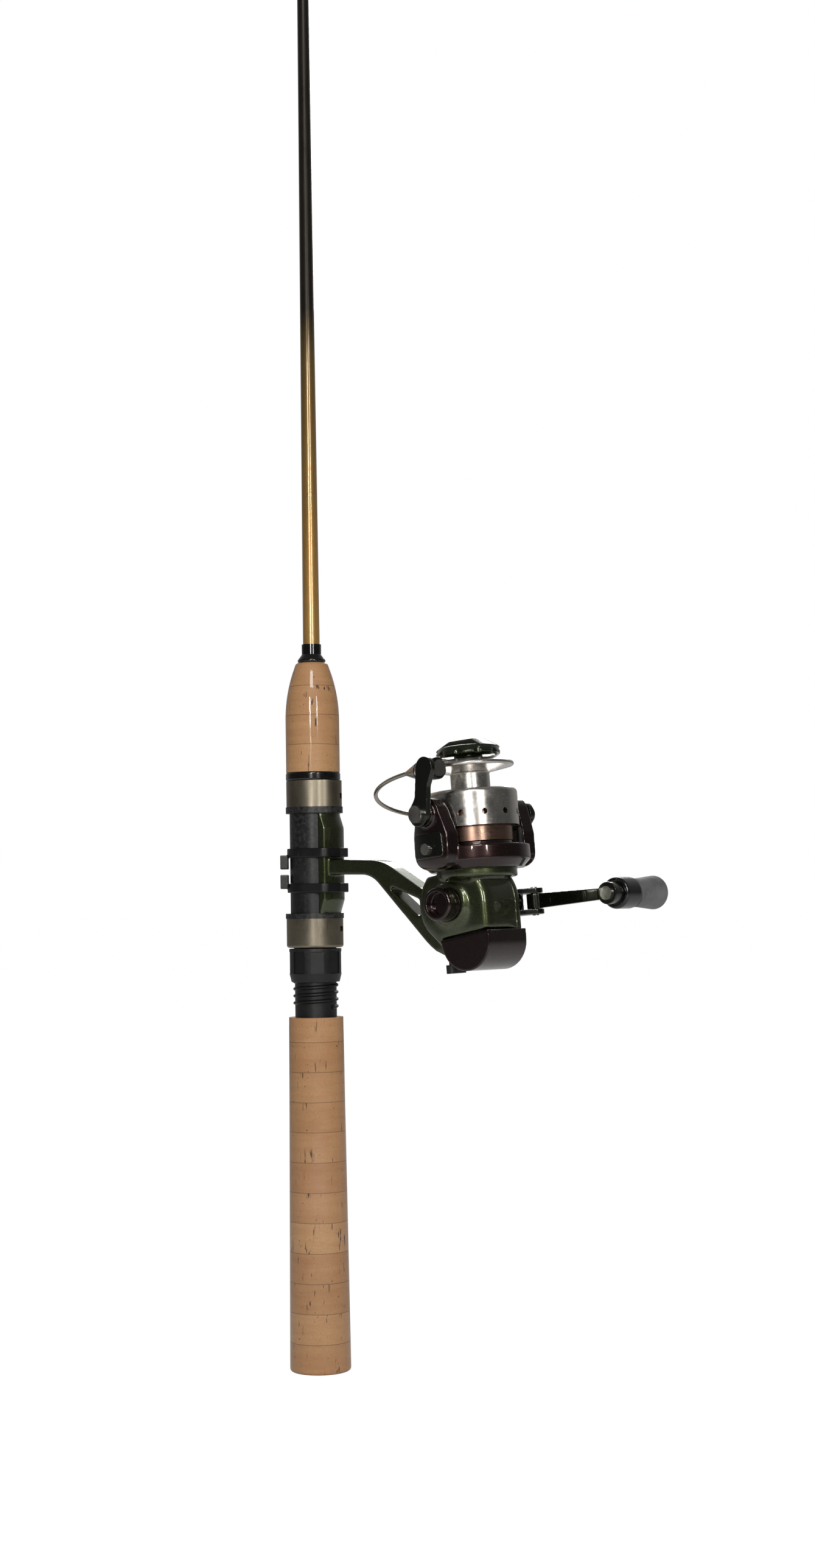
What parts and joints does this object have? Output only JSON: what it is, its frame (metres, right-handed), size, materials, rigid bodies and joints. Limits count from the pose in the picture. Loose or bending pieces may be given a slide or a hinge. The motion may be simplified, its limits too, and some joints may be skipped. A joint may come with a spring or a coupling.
{
  "type": "spinning rod and reel",
  "caption": "Short fishing rod with cork grips, a screw-lock reel seat and a small fixed-spool reel with a folding crank.",
  "frame": {"origin": "centre of the butt's flat end face", "axes": "+Z along the rod to its tip, +X to the side the reel hangs on, +Y to the crank's side"},
  "size_m": [0.1374, 0.0973, 0.9177],
  "materials": {
    "cork": "composite cork under clear shrink film",
    "gold_blank": "gloss lacquer, gold fading to black",
    "gloss_black": "gloss black",
    "black_plastic": "satin black",
    "brushed_metal": "brushed",
    "tie_nylon": "nylon",
    "guide_ceramic": "polished",
    "wrap_lacquer": "thread under clear lacquer",
    "guide_metal": "polished",
    "green_metallic": "metallic paint",
    "green_gloss": "metallic gloss",
    "maroon_gloss": "dark red gloss",
    "copper_sleeve": "brushed copper anodise",
    "spool_silver": "turned",
    "plated_steel": "nickel plate",
    "gear_zinc": "cast, cut teeth",
    "gear_brass": "cut",
    "soft_grip": "soft touch",
    "felt_washer": "oiled felt"
  },
  "bodies": {
    "rod": {"blank": "gold_blank", "winding_check": "gloss_black", "rear_grip": "cork", "fore_grip": "cork", "trim_ring": "gloss_black", "seat_barrel": "black_plastic", "front_hood_rim": "black_plastic", "front_hood": "brushed_metal", "cable_ties": "tie_nylon", "guide_1": "guide_metal", "guide_2": "guide_metal", "guide_3": "guide_metal", "guide_4": "guide_metal", "guide_rings": "guide_ceramic", "guide_wraps": "wrap_lacquer", "tip_top": "guide_metal", "tip_ring": "guide_ceramic", "reel_housing": "green_metallic", "side_cover": "green_metallic", "rear_trim": "maroon_gloss", "housing_screws": "plated_steel", "crank_bearings": "plated_steel", "rotor_bearing": "plated_steel", "crosswind_post": "plated_steel", "slider_rail": "plated_steel"},
    "hood": {"sliding_hood": "brushed_metal", "sliding_hood_rim": "black_plastic"},
    "nut": {"lock_nut": "black_plastic"},
    "crank": {"crank_shaft": "plated_steel", "handle_bolt_cap": "maroon_gloss", "drive_gear": "gear_zinc", "shaft_gear": "gear_zinc", "crank_clevis": "gloss_black", "fold_pin": "plated_steel"},
    "handle": {"crank_arm": "gloss_black", "knob_spindle": "plated_steel"},
    "knob": {"knob_core": "gloss_black", "knob_grip": "soft_grip"},
    "crosswind": {"crosswind_gear": "black_plastic"},
    "anti_reverse": {"anti_reverse_lever": "black_plastic"},
    "rotor": {"rotor": "maroon_gloss", "rotor_sleeve": "copper_sleeve", "rotor_nut": "gear_brass", "pinion_gear": "gear_brass", "ratchet_wheel": "plated_steel", "arm_cover_bail_side": "maroon_gloss", "arm_cover_far_side": "maroon_gloss", "cover_screws": "plated_steel", "bail_pivot_screws": "plated_steel"},
    "bail": {"bail_arm": "gloss_black", "bail_holder": "gloss_black", "bail_wire": "plated_steel", "roller_screw": "plated_steel"},
    "roller": {"line_roller": "spool_silver"},
    "shaft": {"main_shaft": "plated_steel", "slider": "black_plastic"},
    "spool": {"spool": "spool_silver", "drag_washers": "felt_washer"},
    "drag": {"drag_knob": "green_gloss"}
  },
  "joints": [
    {"name": "hood_slide", "type": "slide", "parent": "rod", "child": "hood", "axis": [0, 0, 1], "range_m": [-0.0137, 0]},
    {"name": "nut_turn", "type": "hinge", "parent": "hood", "child": "nut", "pos_m": [0, 0, 0.1584], "axis": [0, 0, 1], "range_deg": [-1740, 0]},
    {"name": "crank_spin", "type": "hinge", "parent": "rod", "child": "crank", "pos_m": [0.07652, 0, 0.18358], "axis": [0, 1, 0], "continuous": true},
    {"name": "crank_fold", "type": "hinge", "parent": "crank", "child": "handle", "pos_m": [0.08369, 0.0336, 0.18414], "axis": [-0.0785, 0, 0.9969], "range_deg": [-40, 0]},
    {"name": "knob_spin", "type": "hinge", "parent": "handle", "child": "knob", "pos_m": [0.11849, 0.05, 0.18688], "axis": [0, 1, 0], "continuous": true},
    {"name": "crosswind_spin", "type": "hinge", "parent": "rod", "child": "crosswind", "pos_m": [0.08169, -0.006, 0.17396], "axis": [0, 1, 0], "continuous": true},
    {"name": "anti_reverse_turn", "type": "hinge", "parent": "rod", "child": "anti_reverse", "pos_m": [0.06954, -0.0042, 0.18303], "axis": [-0.0785, 0, 0.9969], "range_deg": [0, 12]},
    {"name": "rotor_spin", "type": "hinge", "parent": "rod", "child": "rotor", "pos_m": [0.08033, 0, 0.20394], "axis": [-0.0785, 0, 0.9969], "continuous": true},
    {"name": "bail_flip", "type": "hinge", "parent": "rotor", "child": "bail", "pos_m": [0.07927, 0, 0.2174], "axis": [0.156, 0.9877, 0.0123], "range_deg": [0, 100]},
    {"name": "roller_spin", "type": "hinge", "parent": "bail", "child": "roller", "pos_m": [0.07442, -0.02242, 0.23377], "axis": [0.9846, -0.1564, 0.0775], "continuous": true},
    {"name": "spool_stroke", "type": "slide", "parent": "rod", "child": "shaft", "axis": [-0.0785, 0, 0.9969], "range_m": [-0.0054, 0]},
    {"name": "spool_slip", "type": "hinge", "parent": "shaft", "child": "spool", "pos_m": [0.07876, 0, 0.22388], "axis": [-0.0785, 0, 0.9969], "continuous": true},
    {"name": "drag_turn", "type": "hinge", "parent": "shaft", "child": "drag", "pos_m": [0.07743, 0, 0.24082], "axis": [-0.0785, 0, 0.9969], "continuous": true}
  ],
  "couplings": [
    {"joint": "rotor_spin", "follows": "crank_spin", "ratio": -5.2},
    {"joint": "crosswind_spin", "follows": "crank_spin", "ratio": -0.5}
  ]
}
